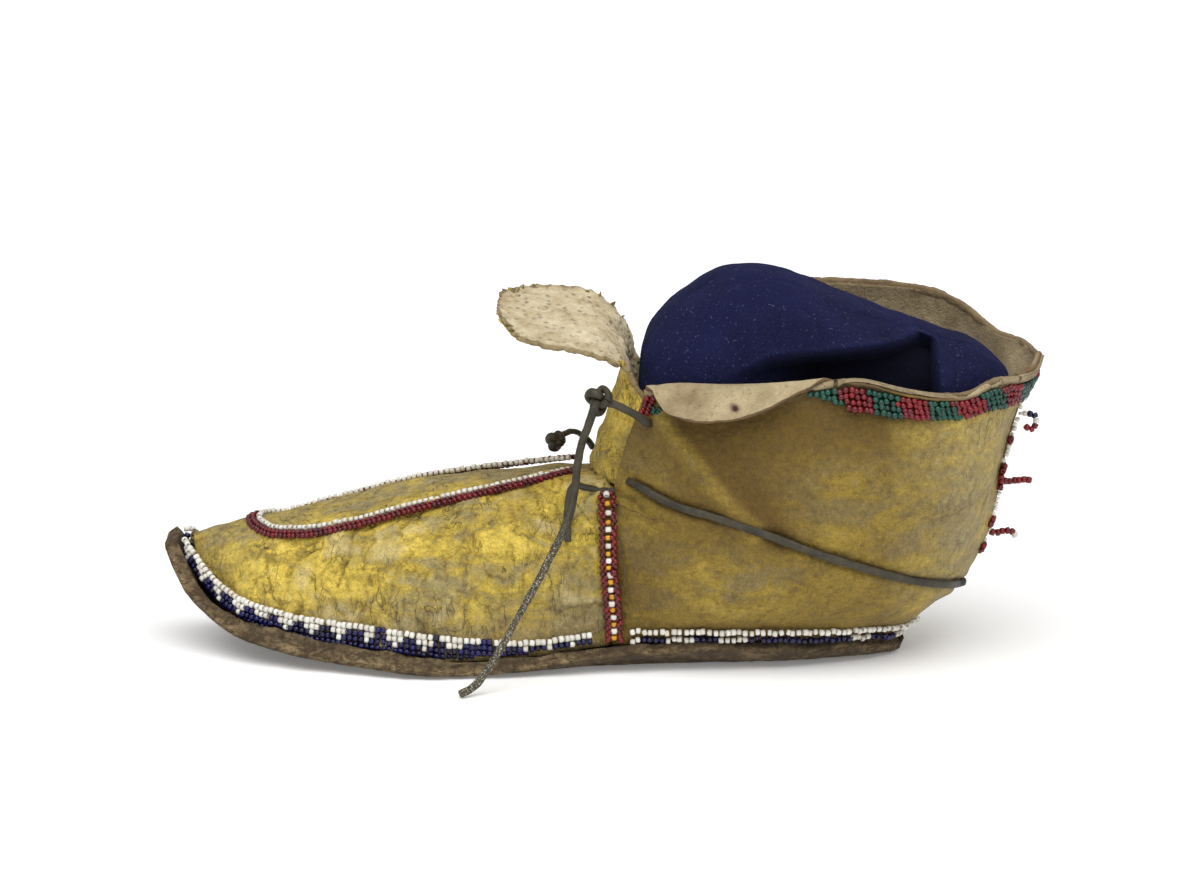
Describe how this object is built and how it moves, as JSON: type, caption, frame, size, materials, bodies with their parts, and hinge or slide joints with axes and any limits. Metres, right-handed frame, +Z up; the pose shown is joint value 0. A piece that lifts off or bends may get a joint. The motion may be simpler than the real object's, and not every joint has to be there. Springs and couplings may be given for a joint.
{
  "type": "beaded hide moccasin",
  "caption": "Left hard-soled moccasin of yellow buckskin on an upturned rawhide sole, with beaded seams, a hinged tongue, a drawstring lace and a lift-out cloth filling.",
  "frame": {"origin": "centre of the footprint (bounding box without the free lace end), on the floor under the sole", "axes": "+X along the foot towards the heel, toe at -X; +Y towards the inner (medial) side; +Z up"},
  "size_m": [0.3015, 0.1144, 0.132],
  "materials": {
    "rawhide": "thick tan rawhide, rough and dirty at its cut edge",
    "buckskin": "soft buckskin rubbed with ochre, mottled grey and brown, creased",
    "flesh_side": "bare cream flesh side of the hide, matt, with small dark specks",
    "lace_hide": "dark grey-green hide lace with pale specks",
    "beads_red": "opaque dark red glass seed beads",
    "beads_white": "opaque white glass seed beads, with yellow ones in the side strips",
    "beads_navy": "navy glass seed beads with stepped white triangles",
    "beads_green": "green and red glass seed beads in slanted blocks",
    "cloth_blue": "napped navy wool cloth with lint"
  },
  "bodies": {
    "upper": {"rawhide_sole": "rawhide", "vamp": "buckskin", "lateral_quarter": "buckskin", "medial_quarter": "buckskin", "tongue_base": "buckskin", "lateral_sole_beads_front": "beads_navy", "medial_sole_beads_front": "beads_navy", "lateral_sole_beads_rear": "beads_white", "medial_sole_beads_rear": "beads_white", "lateral_side_beads": "beads_red", "medial_side_beads": "beads_red", "vamp_beads_red": "beads_red", "vamp_beads_white": "beads_white", "lateral_collar_beads": "beads_green", "lateral_collar_corner_beads": "beads_green", "medial_collar_beads": "beads_green", "heel_seam_beads": "beads_white", "drawstring_heel_run": "lace_hide", "drawstring_front_run": "lace_hide", "drawstring_knot": "lace_hide", "drawstring_collar_end": "lace_hide", "drawstring_free_end": "lace_hide", "drawstring_medial_end": "lace_hide", "drawstring_medial_knot": "lace_hide"},
    "tongue": {"tongue_flap": "flesh_side"},
    "filling": {"cloth_filling": "cloth_blue"},
    "dangle_upper": {"heel_dangle_upper": "beads_red"},
    "dangle_middle": {"heel_dangle_middle": "beads_red"},
    "dangle_lower": {"heel_dangle_lower": "beads_red"}
  },
  "joints": [
    {"name": "tongue_fold", "type": "hinge", "parent": "upper", "child": "tongue", "pos_m": [0.0072, 0, 0.0973], "axis": [0, 1, 0], "range_deg": [-18, 34]},
    {"name": "filling_lift", "type": "slide", "parent": "upper", "child": "filling", "axis": [0, 0, 1], "range_m": [0, 0.12]},
    {"name": "dangle_upper_swing", "type": "hinge", "parent": "upper", "child": "dangle_upper", "pos_m": [0.14535, 0.0025, 0.08035], "axis": [0, 1, 0], "range_deg": [-14, 14]},
    {"name": "dangle_middle_swing", "type": "hinge", "parent": "upper", "child": "dangle_middle", "pos_m": [0.13998, 0.0025, 0.05774], "axis": [0, 1, 0], "range_deg": [-14, 14]},
    {"name": "dangle_lower_swing", "type": "hinge", "parent": "upper", "child": "dangle_lower", "pos_m": [0.13578, 0.0025, 0.03974], "axis": [0, 1, 0], "range_deg": [-14, 14]}
  ]
}
